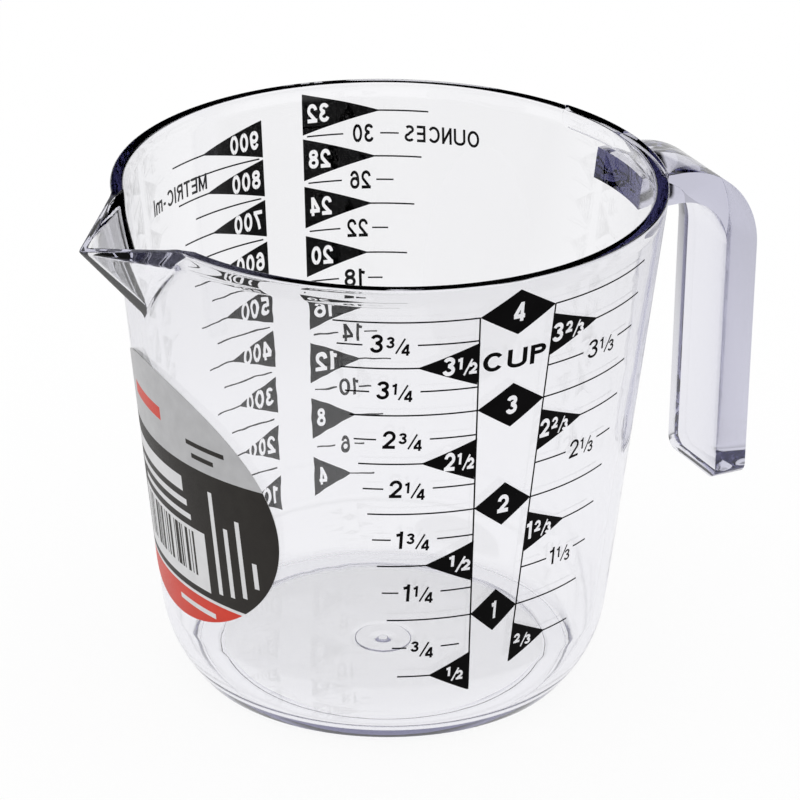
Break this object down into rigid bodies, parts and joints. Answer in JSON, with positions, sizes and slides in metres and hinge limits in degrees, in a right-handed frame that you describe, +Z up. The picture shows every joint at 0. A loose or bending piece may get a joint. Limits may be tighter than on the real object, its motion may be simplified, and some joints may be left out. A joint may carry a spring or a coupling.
{
  "type": "measuring jug",
  "caption": "Clear tapered measuring jug with a V-shaped pouring spout, an open side handle, printed level scales and an oval sticker.",
  "frame": {"origin": "on the cup's axis at the table, the centre of the standing ring", "axes": "+X towards the handle, -X along the spout, +Z up to the rim"},
  "size_m": [0.1648, 0.124, 0.118],
  "materials": {
    "clear_plastic": "polished clear, faint blue-violet in its depth",
    "black_ink": "printed, satin",
    "silver_print": "sticker, satin",
    "black_print": "sticker, satin",
    "red_print": "sticker, satin",
    "pale_print": "sticker, satin"
  },
  "bodies": {
    "root": {"cup_body": "clear_plastic", "pour_spout": "clear_plastic", "handle": "clear_plastic", "rim_pad": "clear_plastic", "cup_scale_column": "black_ink", "cup_scale_half_flags": "black_ink", "cup_scale_third_flags": "black_ink", "cup_scale_lines": "black_ink", "ounce_scale_flags": "black_ink", "ounce_scale_lines": "black_ink", "metric_scale_flags": "black_ink", "metric_scale_lines": "black_ink", "label_silver": "silver_print", "label_black": "black_print", "label_red": "red_print", "label_white": "pale_print"}
  },
  "joints": []
}
